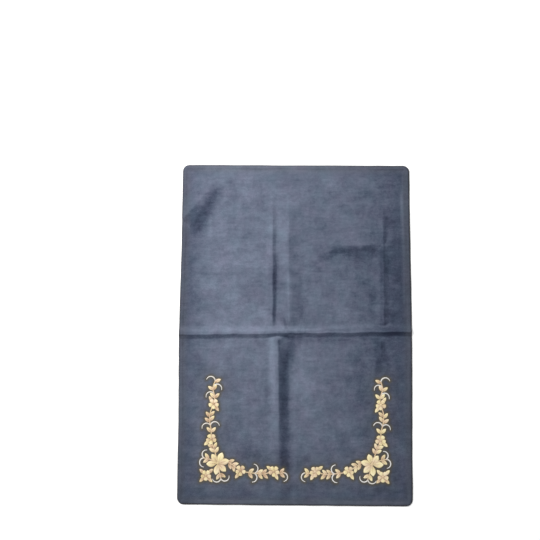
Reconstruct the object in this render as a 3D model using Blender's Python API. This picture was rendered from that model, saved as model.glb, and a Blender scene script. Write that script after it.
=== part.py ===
"""A velvet prayer rug laid flat, with the creases of its folded state and raised corner embroidery.

The file works in metres with +Z up. X is the rug's width, Y runs from the foot edge to the head edge, and the
origin is on the ground under the middle of the rug. The tables below are in millimetres.
"""

import math
from collections import namedtuple

import bmesh
import bpy
from mathutils import Matrix, Vector

MM = 0.001

# ---------------------------------------------------------------- driving sizes, in millimetres

WIDTH = 750.0  # across the foot and head edges
LENGTH = 1100.0
THICKNESS = 3.0  # two layers of suede-faced velvet, turned and pressed
CORNER_RADIUS = 22.0
SIDE_BOW = 3.0  # how far each long side swells out beside the cross crease
BOW_REACH_LEFT = 300.0  # from the cross crease to where the left side runs straight again
BOW_REACH_RIGHT = 420.0
EDGE_ROUND = 1.0  # how far the faces stop short of the rounded rim

CROSS_LEFT_Y = -12.0  # the cross crease runs slightly uphill, from the left side ...
CROSS_RIGHT_Y = 2.0  # ... to the right side
CENTRE_X = -56.0  # the lengthwise crease, where it meets the cross crease
CENTRE_LEAN = -0.018  # its drift in X for each millimetre towards the head
CREASE_FULLNESS = 0.6  # 0 for a fold that falls off sharply from its crest, 1 for a fuller one

STITCH_GAP = 0.3  # the embroidery's underside above the cloth
RIM_HEIGHT = 0.4  # of a stitched shape's upright edge
LEAF_HEIGHT = 0.9
PETAL_HEIGHT = 1.1
STEM_HEIGHT = 0.7
CURL_HEIGHT = 0.8
BUTTON_HEIGHT = 1.5
CROWN_ALONG = 0.5  # where a leaf or petal is highest, as a share of its length

SPRAY_OUT = 246.0  # the large flower's middle, from the rug's centre line
SPRAY_UP = 129.0  # the same, from the foot edge
SPRAY_LEAN = 0.035  # both sprays lean to the right, by this much for each millimetre up
SPRAY_CLIMB = 0.016  # their arms along the foot edge climb towards the middle

STEM_WIDTH = 3.6
CURL_WIDTH = 4.1
CURL_RADIUS = 14.0
CURL_SWEEP = math.radians(165)
CURL_LEAN = math.radians(18)  # between the stem and a tendril that leaves it
CURL_TAPER = 0.6  # how much of its width a tendril has lost at its tip
LEAF_LENGTH = 20.0
LEAF_WIDTH = 9.5
LEAF_LEAN = math.radians(44)

BIG_PETALS = 6
BIG_PETAL_LENGTH = 33.5
BIG_PETAL_WIDTH = 17.5
BIG_FIRST = math.radians(0)  # the first and last petal leave the quarter that faces the corner free
BIG_LAST = math.radians(277)
SMALL_PETALS = 5
SMALL_PETAL_LENGTH = 15.0
SMALL_PETAL_WIDTH = 13.5
SMALL_TURN = math.radians(270)  # one petal points to the foot edge
BUTTON_RADIUS = 4.5
PETAL_ROOT = 2.0  # a petal starts this far from its flower's middle

# ---------------------------------------------------------------- tables, in millimetres

# A fold is a ridge along a straight line. Each flank is the ridge's width on that side of the line, seen along
# it, and each fade is the length over which the ridge rises from nothing at that end.
Fold = namedtuple("Fold", "name x0 y0 x1 y1 rise left_flank right_flank first_fade last_fade")
FOLDS = (
    Fold("cross crease", -380, CROSS_LEFT_Y, 380, CROSS_RIGHT_Y, 4.5, 28, 14, 0, 0),
    Fold("centre crease, foot half", CENTRE_X, -8, -50, -425, 4.5, 34, 38, 20, 190),
    Fold("centre lip, head half", -74, 10, -77, 470, 1.8, 24, 13, 25, 160),
    Fold("centre swell, head half", -19, 10, -25, 500, 3.4, 42, 50, 40, 200),
    Fold("side crease, head half", 287, 12, 286, 440, 2.2, 30, 18, 25, 150),
    Fold("side crease, foot half", 277, -12, 273, -140, 1.6, 20, 20, 20, 90),
    Fold("quarter crease", 105, 281, 330, 286, 1.6, 34, 26, 90, 40),
    Fold("corner slant", -276, 480, -372, 366, 2.0, 46, 42, 60, 0),
)

# Half outlines of the stitched shapes: how far along the shape, and how far out as a share of the half width.
HalfPoint = namedtuple("HalfPoint", "along out")
LEAF_OUTLINE = (HalfPoint(0.28, 0.86), HalfPoint(0.62, 0.92))
POINTED_OUTLINE = (HalfPoint(0.22, 0.6), HalfPoint(0.55, 1.0), HalfPoint(0.83, 0.62))
ROUND_OUTLINE = (HalfPoint(0.25, 0.6), HalfPoint(0.66, 1.0), HalfPoint(0.93, 0.66))

# The stems, from the large flower's middle: outwards (towards the rug's side), and up (towards the head).
Place = namedtuple("Place", "out up")
RISE = (
    Place(0, 0),
    Place(12, 40),
    Place(25, 75),
    Place(26, 103),
    Place(32, 132),
    Place(32, 160),
    Place(23, 187),
    Place(20, 209),
    Place(27, 238),
    Place(20, 264),
)
RUN = (
    Place(0, 0),
    Place(-30, 5),
    Place(-74, -23),
    Place(-92, -28),
    Place(-122, -32),
    Place(-150, -34),
    Place(-180, -26),
    Place(-198, -32),
    Place(-216, -30),
)
SIDE_TWIG = (Place(0, 0), Place(25, 13), Place(50, 18))
FOOT_TWIG = (Place(0, 0), Place(-6, -25), Place(-13, -49))
CORNER_FLOWER = Place(36, -37)  # the middle of the flower that stands alone

# What grows on a stem: its kind, the sides it is on seen along the stem, and how far along the stem it is.
Growth = namedtuple("Growth", "kind sides along")
RISE_GROWTH = (
    Growth("leaf", "L", 35),
    Growth("leaf", "R", 38),
    Growth("leaf", "L", 50),
    Growth("leaf", "R", 53),
    Growth("flower", "", 81),
    Growth("leaf", "LR", 103),
    Growth("curl", "LR", 124),
    Growth("leaf", "R", 136),
    Growth("leaf", "L", 140),
    Growth("leaf", "R", 152),
    Growth("leaf", "L", 156),
    Growth("flower", "", 195),
    Growth("leaf", "LR", 209),
    Growth("curl", "R", 227),
    Growth("leaf", "LR", 240),
    Growth("curl", "L", 252),
    Growth("leaf", "L", 266),
    Growth("curl", "R", 269),
)
RUN_GROWTH = (
    Growth("leaf", "R", 34),
    Growth("leaf", "L", 38),
    Growth("leaf", "R", 49),
    Growth("leaf", "L", 53),
    Growth("flower", "", 83),
    Growth("leaf", "LR", 110),
    Growth("curl", "LR", 128),
    Growth("leaf", "R", 138),
    Growth("leaf", "L", 141),
    Growth("leaf", "R", 153),
    Growth("leaf", "L", 157),
    Growth("flower", "", 192),
    Growth("leaf", "LR", 212),
    Growth("curl", "L", 225),
)
TWIG_GROWTH = (
    Growth("leaf", "LR", 33),
    Growth("curl", "L", 47),
    Growth("curl", "R", 51),
)

# The single leaves that a flower stands on: the stem, how far along it, and the leaf's heading in degrees,
# from outwards towards the head.
FlowerLeaf = namedtuple("FlowerLeaf", "stem along heading")
FLOWER_LEAVES = (
    FlowerLeaf(RISE, 81, -42),
    FlowerLeaf(RISE, 195, 56),
    FlowerLeaf(RISE, 195, 234),
    FlowerLeaf(RUN, 83, -55),
    FlowerLeaf(RUN, 192, 35),
    FlowerLeaf(RUN, 192, 242),
)
FLOWER_LEAF_REACH = 29.0  # from the flower's middle to the leaf's tip

COLUMN_STEP = 47.0  # between the mesh lines of the flat cloth
ROW_STEP = 50.0
# The extra mesh lines beside a crease: where it runs, and how far from it each line is.
Crease = namedtuple("Crease", "at offsets")
CENTRE_CREASE = Crease(CENTRE_X, (-34, -20, -10, -4, 0, 5, 10, 20, 34))
SIDE_CREASE = Crease(287.0, (-28, -12, 0, 9, 18))
CROSS_CREASE = Crease(0.0, (-34, -20, -10, -4, 0, 5, 10, 20, 34))
QUARTER_CREASE = Crease(284.0, (-26, -10, 0, 14, 34))
CROSS_PULL = 360.0  # how far from the cross crease the mesh lines still lean with it
CENTRE_PULL = 150.0  # the same for the centre crease
CORNER_STEPS = 4
CURL_STEPS = 6
BUTTON_SIDES = 8
STEM_STEP = 12.0
FLAT_ANGLE = math.radians(0.5)  # faces closer to one plane than this are joined

# ---------------------------------------------------------------- materials

Finish = namedtuple("Finish", "colour roughness")
NAVY_VELVET = Finish((0.075, 0.088, 0.125), 0.9)
GOLD_THREAD = Finish((0.78, 0.58, 0.31), 0.45)


def material(name, finish):
    """A plain cloth or thread finish."""
    made = bpy.data.materials.new(name)
    made.use_nodes = True
    shader = made.node_tree.nodes["Principled BSDF"]
    shader.inputs["Base Color"].default_value = (*finish.colour, 1.0)
    shader.inputs["Roughness"].default_value = finish.roughness
    shader.inputs["Metallic"].default_value = 0.0
    made.diffuse_color = (*finish.colour, 1.0)
    return made


def object_from(bm, name, made_of):
    """A mesh object from bm, with its place in its mesh."""
    bmesh.ops.recalc_face_normals(bm, faces=bm.faces)
    mesh = bpy.data.meshes.new(name)
    bm.to_mesh(mesh)
    bm.free()
    mesh.materials.append(made_of)
    mesh.shade_smooth()
    mesh.set_sharp_from_angle(angle=math.radians(40))
    made = bpy.data.objects.new(name, mesh)
    bpy.context.scene.collection.objects.link(made)
    return made


# ---------------------------------------------------------------- the cloth


def crease_profile(share):
    """A fold's height at a share of its flank's width from the crest: a creased top and a soft landing."""
    return (1 - share) ** 2 * (1 + CREASE_FULLNESS * share) if share < 1 else 0.0


def end_fade(distance, fade):
    """How much of a fold is left at a distance from its end."""
    if fade == 0:
        return 1.0
    share = min(max(distance / fade, 0.0), 1.0)
    return share * share * (3 - 2 * share)


def relief(x, y):
    """How far the folds lift the cloth off the ground at x, y."""
    lift = 0.0
    for fold in FOLDS:
        along = Vector((fold.x1 - fold.x0, fold.y1 - fold.y0))
        length = along.length
        along.normalize()
        offset = Vector((x - fold.x0, y - fold.y0))
        travelled = offset.dot(along)
        if not 0 <= travelled <= length:
            continue
        leftwards = offset.dot(Vector((-along.y, along.x)))
        flank = fold.left_flank if leftwards > 0 else fold.right_flank
        height = fold.rise * crease_profile(abs(leftwards) / flank)
        height *= end_fade(travelled, fold.first_fade) * end_fade(length - travelled, fold.last_fade)
        lift = max(lift, height)
    return lift


def half_width(side, y, inset):
    """From the centre line to the cloth's edge at y, on the left (side -1) or the right (side 1)."""
    reach = BOW_REACH_LEFT if side < 0 else BOW_REACH_RIGHT
    bow = SIDE_BOW * max(0.0, 1 - (y / reach) ** 2) ** 2
    radius = CORNER_RADIUS - inset
    into_corner = max(0.0, abs(y) - (LENGTH / 2 - CORNER_RADIUS))
    rounding = radius - math.sqrt(max(0.0, radius * radius - into_corner * into_corner))
    return WIDTH / 2 + bow - inset - rounding


def lines_with_creases(half_size, step, creases):
    """Mesh lines from -half_size to half_size, a step apart, with closer ones beside the creases."""
    count = round(2 * half_size / step)
    even = [-half_size + 2 * half_size * n / count for n in range(count + 1)]
    close = [crease.at + offset for crease in creases for offset in crease.offsets]
    clear = [line for line in even if min(abs(line - other) for other in close) > step / 3]
    return sorted(clear + close)


def cloth_rows():
    """The rows' distances from the middle, with the corners' arcs in even steps."""
    straight = LENGTH / 2 - CORNER_RADIUS
    rows = lines_with_creases(straight, ROW_STEP, (CROSS_CREASE, QUARTER_CREASE))
    arc = [CORNER_RADIUS * math.sin(math.pi / 2 * n / CORNER_STEPS) for n in range(1, CORNER_STEPS + 1)]
    return [-straight - rise for rise in reversed(arc)] + rows + [straight + rise for rise in arc]


def cloth_point(row, column, inset):
    """Where the mesh line of a row crosses that of a column, a column being a share of the half width."""
    cross_lean = (CROSS_RIGHT_Y - CROSS_LEFT_Y) / WIDTH
    cross_middle = (CROSS_RIGHT_Y + CROSS_LEFT_Y) / 2
    near_cross = max(0.0, 1 - abs(row) / CROSS_PULL)
    squeeze = 1 - inset / (LENGTH / 2)
    y = row * squeeze
    side = -1 if column < 0 else 1
    x = side * abs(column) * half_width(side, y, inset)
    y += near_cross * (cross_middle + cross_lean * x)
    near_centre = max(0.0, 1 - abs(x - CENTRE_X) / CENTRE_PULL)
    x += near_centre * CENTRE_LEAN * y
    return x, y


def cloth():
    """The rug: one closed sheet whose underside follows the folds, with a rounded rim."""
    rows = cloth_rows()
    lines = lines_with_creases(WIDTH / 2, COLUMN_STEP, (CENTRE_CREASE, SIDE_CREASE))
    columns = [x / (WIDTH / 2) for x in lines]
    bm = bmesh.new()

    def layer(height, inset):
        grid = []
        for row in rows:
            line = []
            for column in columns:
                x, y = cloth_point(row, column, inset)
                line.append(bm.verts.new(Vector((x, y, relief(x, y) + height)) * MM))
            grid.append(line)
        return grid

    top = layer(THICKNESS, EDGE_ROUND)
    bottom = layer(0.0, EDGE_ROUND)
    for grid in (top, bottom):
        for near, far in zip(grid, grid[1:]):
            for a, b, c, d in zip(near, near[1:], far[1:], far):
                bm.faces.new((a, b, c, d))

    def rim(grid):
        """The grid's outer points, once round."""
        right = [line[-1] for line in grid[1:-1]]
        left = [line[0] for line in grid[1:-1]]
        return grid[0] + right + list(reversed(grid[-1])) + list(reversed(left))

    places = rim([[(row, column) for column in columns] for row in rows])
    middle = []
    for row, column in places:
        x, y = cloth_point(row, column, 0.0)
        middle.append(bm.verts.new(Vector((x, y, relief(x, y) + THICKNESS / 2)) * MM))
    for upper, lower in ((rim(top), middle), (middle, rim(bottom))):
        for n in range(len(upper)):
            after = (n + 1) % len(upper)
            bm.faces.new((upper[n], upper[after], lower[after], lower[n]))
    return object_from(bm, "rug", material("navy velvet", NAVY_VELVET))


# ---------------------------------------------------------------- the embroidery


def heading_vector(heading):
    return Vector((math.cos(heading), math.sin(heading)))


def raise_shape(bm, outline, crown, height):
    """A closed low dome over a flat outline, with its highest point at crown."""
    ground = THICKNESS + STITCH_GAP
    foot = [bm.verts.new(Vector((p.x, p.y, ground)) * MM) for p in outline]
    edge = [bm.verts.new(Vector((p.x, p.y, ground + RIM_HEIGHT)) * MM) for p in outline]
    top = bm.verts.new(Vector((crown.x, crown.y, ground + height)) * MM)
    bm.faces.new(list(reversed(foot)))
    for n in range(len(outline)):
        after = (n + 1) % len(outline)
        bm.faces.new((foot[n], foot[after], edge[after], edge[n]))
        bm.faces.new((edge[n], edge[after], top))


def lobe(bm, root, heading, length, width, half_outline, height):
    """A leaf or petal from its root: both halves of its outline, then its dome."""
    ahead = heading_vector(heading)
    across = Vector((-ahead.y, ahead.x)) * (width / 2)
    right = [root + ahead * (length * p.along) - across * p.out for p in half_outline]
    left = [root + ahead * (length * p.along) + across * p.out for p in half_outline]
    outline = [root, *right, root + ahead * length, *reversed(left)]
    raise_shape(bm, outline, root + ahead * (length * CROWN_ALONG), height)


def button(bm, middle):
    """The round knot in the middle of a flower."""
    step = 2 * math.pi / BUTTON_SIDES
    ring = [middle + heading_vector(step * n) * BUTTON_RADIUS for n in range(BUTTON_SIDES)]
    raise_shape(bm, ring, middle, BUTTON_HEIGHT)


def petals(bm, middle, headings, length, width, half_outline):
    for heading in headings:
        root = middle + heading_vector(heading) * PETAL_ROOT
        lobe(bm, root, heading, length, width, half_outline, PETAL_HEIGHT)
    button(bm, middle)


def small_flower(bm, middle):
    headings = [SMALL_TURN + 2 * math.pi * n / SMALL_PETALS for n in range(SMALL_PETALS)]
    petals(bm, middle, headings, SMALL_PETAL_LENGTH, SMALL_PETAL_WIDTH, ROUND_OUTLINE)


def big_flower(bm, middle):
    step = (BIG_LAST - BIG_FIRST) / (BIG_PETALS - 1)
    headings = [BIG_FIRST + step * n for n in range(BIG_PETALS)]
    petals(bm, middle, headings, BIG_PETAL_LENGTH, BIG_PETAL_WIDTH, POINTED_OUTLINE)


def band(bm, points, widths, height):
    """A stitched line along points: flat below, and crowned along its middle."""
    ground = THICKNESS + STITCH_GAP
    sections = []
    for n, point in enumerate(points):
        ahead = (points[min(n + 1, len(points) - 1)] - points[max(n - 1, 0)]).normalized()
        across = Vector((-ahead.y, ahead.x)) * (widths[n] / 2)
        left, right = point + across, point - across
        section = (
            (left.x, left.y, ground),
            (right.x, right.y, ground),
            (right.x, right.y, ground + RIM_HEIGHT),
            (point.x, point.y, ground + height),
            (left.x, left.y, ground + RIM_HEIGHT),
        )
        sections.append([bm.verts.new(Vector(corner) * MM) for corner in section])
    for near, far in zip(sections, sections[1:]):
        for n in range(len(near)):
            after = (n + 1) % len(near)
            bm.faces.new((near[n], near[after], far[after], far[n]))
    bm.faces.new(list(reversed(sections[0])))
    bm.faces.new(sections[-1])


def curl(bm, root, stem_heading, turn):
    """A hooked tendril that leaves the stem to one side and turns on round a circle. turn is 1 leftwards."""
    step = CURL_SWEEP / CURL_STEPS
    heading = stem_heading + turn * CURL_LEAN
    chord = 2 * CURL_RADIUS * math.sin(step / 2)
    points = [root]
    for _ in range(CURL_STEPS):
        points.append(points[-1] + heading_vector(heading + turn * step / 2) * chord)
        heading += turn * step
    widths = [CURL_WIDTH * (1 - CURL_TAPER * (n / CURL_STEPS) ** 2) for n in range(len(points))]
    band(bm, points, widths, CURL_HEIGHT)


def smooth_path(points):
    """Points STEM_STEP apart on a smooth curve through the given ones."""
    ends = [Vector(p) for p in points]
    ends = [2 * ends[0] - ends[1], *ends, 2 * ends[-1] - ends[-2]]
    path = [ends[1]]
    for before, start, end, after in zip(ends, ends[1:], ends[2:], ends[3:]):
        steps = max(1, round((end - start).length / STEM_STEP))
        for n in range(1, steps + 1):
            t = n / steps
            bend = start * 2 + (end - before) * t
            bend += (before * 2 - start * 5 + end * 4 - after) * t**2
            bend += (start * 3 - before - end * 3 + after) * t**3
            path.append(bend / 2)
    return path


def point_on(path, distance):
    """The place on a path, and the path's heading there."""
    for start, end in zip(path, path[1:]):
        step = end - start
        if distance <= step.length:
            return start + step.normalized() * distance, math.atan2(step.y, step.x)
        distance -= step.length
    return path[-1], math.atan2(step.y, step.x)


def flower_leaf(bm, middle, heading):
    """A leaf that shows beside a flower, with its root under the petals."""
    root = middle + heading_vector(heading) * (FLOWER_LEAF_REACH - LEAF_LENGTH)
    lobe(bm, root, heading, LEAF_LENGTH, LEAF_WIDTH, LEAF_OUTLINE, LEAF_HEIGHT)


def stem(sprig, blooms, points, growth):
    """A stem with all that grows on it: the flowers go into blooms, and the rest into sprig."""
    path = smooth_path(points)
    band(sprig, path, [STEM_WIDTH] * len(path), STEM_HEIGHT)
    for grown in growth:
        place, heading = point_on(path, grown.along)
        if grown.kind == "flower":
            small_flower(blooms, place)
        for side in grown.sides:
            turn = 1 if side == "L" else -1
            if grown.kind == "leaf":
                lean = heading + turn * LEAF_LEAN
                lobe(sprig, place, lean, LEAF_LENGTH, LEAF_WIDTH, LEAF_OUTLINE, LEAF_HEIGHT)
            else:
                curl(sprig, place, heading, turn)


def spray(sprig, blooms):
    """One corner's connected embroidery, around the large flower's middle."""
    stem(sprig, blooms, RISE, RISE_GROWTH)
    stem(sprig, blooms, RUN, RUN_GROWTH)
    stem(sprig, blooms, SIDE_TWIG, TWIG_GROWTH)
    stem(sprig, blooms, FOOT_TWIG, TWIG_GROWTH)
    for leaf in FLOWER_LEAVES:
        middle, _ = point_on(smooth_path(leaf.stem), leaf.along)
        flower_leaf(sprig, middle, math.radians(leaf.heading))
    big_flower(blooms, Vector((0, 0)))


def corner_flower(sprig, blooms):
    """The small flower with four leaves that stands alone in the rug's corner."""
    middle = Vector(CORNER_FLOWER)
    for quarter in range(4):
        flower_leaf(sprig, middle, math.pi / 4 + math.pi / 2 * quarter)
    small_flower(blooms, middle)


def embroider(draw, name, side, thread):
    """Draw one motif at its corner, left (side -1) or right (side 1), and fuse it into one body."""
    sprig, blooms = bmesh.new(), bmesh.new()
    draw(sprig, blooms)
    middle = Vector((side * SPRAY_OUT, SPRAY_UP - LENGTH / 2, 0)) * MM
    skewed = Matrix(((side, SPRAY_LEAN, 0, 0), (-SPRAY_CLIMB, 1, 0, 0), (0, 0, 1, 0), (0, 0, 0, 1)))
    for bm in (sprig, blooms):
        bm.transform(Matrix.Translation(middle) @ skewed)
    motif = object_from(sprig, name, thread)
    guide = object_from(blooms, name + "_blooms", thread)
    guide.hide_render = True
    guide.display_type = "WIRE"
    fuse = motif.modifiers.new("fuse the blooms and the sprig", "BOOLEAN")
    fuse.operation = "UNION"
    fuse.solver = "EXACT"
    fuse.use_self = True  # the leaves, stems and petals overlap each other too
    fuse.object = guide
    flatten = motif.modifiers.new("join the flat pieces of the underside", "DECIMATE")
    flatten.decimate_type = "DISSOLVE"
    flatten.angle_limit = FLAT_ANGLE


def main():
    for existing in list(bpy.data.objects):
        bpy.data.objects.remove(existing, do_unlink=True)
    cloth()
    thread = material("gold thread", GOLD_THREAD)
    for side, word in ((-1, "left"), (1, "right")):
        embroider(spray, f"spray_{word}", side, thread)
        embroider(corner_flower, f"corner_flower_{word}", side, thread)


main()
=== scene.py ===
# %% [markdown]
# # A velvet prayer rug with gold corner sprays
#
# The rug is thin: two layers of suede-faced velvet, sewn round, turned out and pressed. It
# has just been unfolded, so its creases still stand up. Gold machine embroidery fills both
# corners of its foot end: a large flower, and two stems with leaves, small flowers and
# tendrils.
#
# The imported solids fix each size and place. This lesson builds the finished surfaces: the
# cloth with its creases, its nap and the light and shade painted on it, and the embroidery
# stitch by stitch. Sizes are in millimetres, as on a cutting pattern, and `MM` turns them into
# Blender's metres.

# %% Load the imported solids
import math
import random
from collections import namedtuple

import bpy
import numpy as np
from mathutils import Matrix, Vector, kdtree, noise


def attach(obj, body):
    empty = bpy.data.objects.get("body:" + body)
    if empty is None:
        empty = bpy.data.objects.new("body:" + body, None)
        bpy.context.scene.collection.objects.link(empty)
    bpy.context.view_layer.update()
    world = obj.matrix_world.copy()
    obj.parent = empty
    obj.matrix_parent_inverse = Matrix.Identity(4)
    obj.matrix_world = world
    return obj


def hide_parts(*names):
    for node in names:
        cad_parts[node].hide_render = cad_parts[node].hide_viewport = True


MM = 0.001

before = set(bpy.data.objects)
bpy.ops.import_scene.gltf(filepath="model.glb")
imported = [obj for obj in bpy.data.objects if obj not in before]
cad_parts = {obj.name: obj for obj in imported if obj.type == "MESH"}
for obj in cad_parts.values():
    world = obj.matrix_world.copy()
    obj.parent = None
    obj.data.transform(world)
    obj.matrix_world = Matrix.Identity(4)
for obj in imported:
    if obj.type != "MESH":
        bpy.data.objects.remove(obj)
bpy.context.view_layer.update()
print("nodes:", ", ".join(sorted(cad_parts)))

# %% [markdown]
# ## The camera
#
# The camera hangs 2.4 m above the rug, a little below its middle, so that the head end looks
# slightly narrower than the foot end. A constraint could aim it, but a fixed place and turn
# is the plainest thing to read and to change.

# %% Aim the camera
CAMERA_PLACE = (-0.0604, -0.0335, 2.4446)
CAMERA_TURN = (5.482, 0.509, 0.398)  # degrees about X, Y and Z
FOCAL_LENGTH = 50
SENSOR_WIDTH = 36

bpy.ops.object.camera_add(
    location=CAMERA_PLACE, rotation=[math.radians(turn) for turn in CAMERA_TURN]
)
camera = bpy.context.object
camera.data.lens = FOCAL_LENGTH
camera.data.sensor_width = SENSOR_WIDTH
bpy.context.scene.camera = camera
print("camera height in m:", round(camera.location.z, 2))

# %% [markdown]
# ## The rug's outline
#
# The rug is a rectangle with rounded corners, and its long sides swell out a little where
# the cross crease meets them. One function gives the distance from the centre line to the
# edge at each height, so everything that lies on the rug can ask how near the edge it is.

# %% Work out the outline
WIDTH = 750.0
LENGTH = 1100.0
THICKNESS = 3.0
CORNER_RADIUS = 22.0
SIDE_BOW = 3.0  # how far a long side swells out beside the cross crease
BOW_REACH_LEFT = 300.0
BOW_REACH_RIGHT = 420.0


def half_width(x, y):
    """From the centre line to the edge at y, on the side that x is on."""
    reach = np.where(x < 0, BOW_REACH_LEFT, BOW_REACH_RIGHT)
    bow = SIDE_BOW * np.maximum(0, 1 - (y / reach) ** 2) ** 2
    into_corner = np.maximum(0, np.abs(y) - (LENGTH / 2 - CORNER_RADIUS))
    rounding = CORNER_RADIUS - np.sqrt(np.maximum(0, CORNER_RADIUS**2 - into_corner**2))
    return WIDTH / 2 + bow - rounding


def edge_distance(x, y):
    """How far inside the rug's edge a place is."""
    return np.minimum(half_width(x, y) - np.abs(x), LENGTH / 2 - np.abs(y))


print("width at the cross crease:", half_width(-1, 0) + half_width(1, 0))

# %% [markdown]
# ## The creases
#
# The rug was kept folded in four. Each crease is a ridge with a sharp crest and a soft flank
# on either side, and some fade away towards an end. They are listed in one table, the same as
# in the solids, and each crest wanders a little from its line. A simulation would give creases
# too, but not these ones.

# %% List the folds
CREASE_FULLNESS = 0.6  # 0 for a fold that falls off sharply from its crest, 1 for a fuller one
CREST_ROUND = 1.6  # the pile rounds the crest over this distance
CREST_WANDER = 2.0  # how far a crest strays from its straight line

# A fold is a ridge along a straight line: both of its ends, its rise, how wide its left and its
# right flank are, and the lengths over which it rises from nothing at its two ends.
FOLDS = (
    (-380, -12, 380, 2, 4.5, 28, 14, 0, 0),  # cross crease
    (-56, -8, -50, -425, 4.5, 34, 38, 20, 190),  # centre crease, foot half
    (-74, 10, -77, 470, 1.8, 24, 13, 25, 160),  # centre lip, head half
    (-19, 10, -25, 500, 3.4, 42, 50, 40, 200),  # centre swell, head half
    (287, 12, 286, 440, 2.2, 30, 18, 25, 150),  # side crease, head half
    (277, -12, 273, -140, 1.6, 20, 20, 20, 90),  # side crease, foot half
    (105, 281, 330, 286, 1.6, 34, 26, 90, 40),  # quarter crease
    (-276, 480, -372, 366, 2.0, 46, 42, 60, 0),  # corner slant
)


def soft_noise(x, y, size_x, size_y, pattern):
    """Smooth noise from about -1 to 1, in patches of that size. Each number is another pattern."""
    return np.array([noise.noise((a / size_x, b / size_y, pattern)) for a, b in zip(x, y)])


def smooth_step(share):
    """From 0 to 1, starting and ending softly."""
    share = np.clip(share, 0, 1)
    return share * share * (3 - 2 * share)


def follow(line, x, y):
    """A line's length, and for each place how far along the line and to its left it is."""
    x0, y0, x1, y1 = line
    length = math.hypot(x1 - x0, y1 - y0)
    ahead_x, ahead_y = (x1 - x0) / length, (y1 - y0) / length
    travelled = (x - x0) * ahead_x + (y - y0) * ahead_y
    return length, travelled, (y - y0) * ahead_x - (x - x0) * ahead_y


def fold_lift(x, y):
    """How far the folds lift the cloth off the ground."""
    lift = np.zeros_like(x)
    for *line, rise, left_flank, right_flank, first_fade, last_fade in FOLDS:
        length, travelled, leftwards = follow(line, x, y)
        leftwards = leftwards + CREST_WANDER * soft_noise(travelled, line[0] + 0 * x, 41, 50, 5.1)
        off_crest = np.hypot(leftwards, CREST_ROUND) - CREST_ROUND
        share = off_crest / np.where(leftwards > 0, left_flank, right_flank)
        height = rise * np.maximum(0, 1 - share) ** 2 * (1 + CREASE_FULLNESS * share)
        for distance, fade in ((travelled, first_fade), (length - travelled, last_fade)):
            height = height * (smooth_step(distance / fade) if fade else distance >= 0)
        lift = np.maximum(lift, height)
    return lift


crest = fold_lift(np.array([-54.0]), np.array([-150.0]))
print("crest of the centre crease:", crest.round(2))

# %% [markdown]
# ## What else moves the surface
#
# The seam allowance inside makes a low step that runs round the rug, about 15 mm in, and the
# very edge rolls down to the ground. Cloth that was handled also keeps broad, shallow swells
# and short crumples. Those have a function of their own, because the embroidery lies on them.

# %% Add the seam allowance, the rolled edge and the handling
SEAM_DEPTH = 13.0  # from the edge to the middle of the step
SEAM_DRIFT = 10.0  # how much deeper the right side's seam allowance is near the head end
DRIFT_LENGTH = 450.0
SEAM_WANDER = 1.5
SEAM_RISE = 0.55
SEAM_SOFTNESS = 7.0
CLEARNESS = 0.65  # how much of the step shows on average, and how much that varies
CLEARNESS_SPREAD = 0.6
EDGE_ROLL = 1.3
ROLL_REACH = 5.0
SWELL_RISE = 0.45
CRUMPLE_RISE = 0.10
CRUMPLE_NARROWNESS = 4
HANDLED_FROM = 30.0  # nearer to the edge than this, swells and crumples die away


def seam_lift(x, y):
    """The step over the seam allowance, clearer in some places than in others."""
    inside = edge_distance(x, y)
    on_right = half_width(x, y) - x < LENGTH / 2 - np.abs(y)
    depth = SEAM_DEPTH + np.where(on_right, SEAM_DRIFT * smooth_step(y / DRIFT_LENGTH), 0)
    depth = depth + SEAM_WANDER * soft_noise(x, y, 90, 90, 3.1)
    clearness = CLEARNESS + CLEARNESS_SPREAD * soft_noise(x, y, 150, 150, 4.7)
    step = smooth_step((depth - inside) / SEAM_SOFTNESS + 0.5)
    roll = np.maximum(0, 1 - inside / ROLL_REACH) ** 2
    return SEAM_RISE * step * clearness - EDGE_ROLL * roll


def handling_lift(x, y):
    """Broad swells and short crumples, which keep clear of the ground."""
    swell = soft_noise(x, y, 120, 85, 1.3) + soft_noise(x, y, 60, 45, 2.9) / 2
    crumple = 1 - np.abs(soft_noise(x, y, 34, 15, 6.2)) * CRUMPLE_NARROWNESS
    handled = smooth_step(edge_distance(x, y) / HANDLED_FROM)
    return handled * (SWELL_RISE * np.maximum(0, swell) + CRUMPLE_RISE * np.maximum(0, crumple))


def cloth_lift(x, y):
    """The top surface above a cloth that lies dead flat."""
    return fold_lift(x, y) + seam_lift(x, y) + handling_lift(x, y)


print("lift at the rug's middle:", cloth_lift(np.zeros(1), np.zeros(1)).round(2))

# %% [markdown]
# ## The cloth
#
# The cloth starts as a grid at the rug's real size, because a grid's lines can run with the
# creases. They are drawn together where the surface turns sharply, beside the creases and at
# the edges, and then leaned along the creases. That gives crisp folds from few points.

# %% Helpers for the rest of the lesson
SMOOTH_ANGLE = math.radians(60)  # a sharper bend than this is shaded as an edge


def work_on(piece=None):
    """Leave only this piece selected, because an operator acts on all that is selected."""
    bpy.ops.object.select_all(action="DESELECT")
    if piece:
        piece.select_set(True)
        bpy.context.view_layer.objects.active = piece


def points_of(piece):
    """The piece's points in millimetres, one row for each."""
    flat = np.empty(len(piece.data.vertices) * 3)
    piece.data.vertices.foreach_get("co", flat)
    return flat.reshape(-1, 3) / MM


def move_points(piece, points):
    piece.data.vertices.foreach_set("co", (points * MM).ravel())
    piece.data.update()


def write_values(piece, name, values):
    """Keep a number for each point, where a material can read it by name."""
    kept = piece.data.attributes.get(name) or piece.data.attributes.new(name, "FLOAT", "POINT")
    kept.data.foreach_set("value", np.asarray(values, np.float32))


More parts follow.
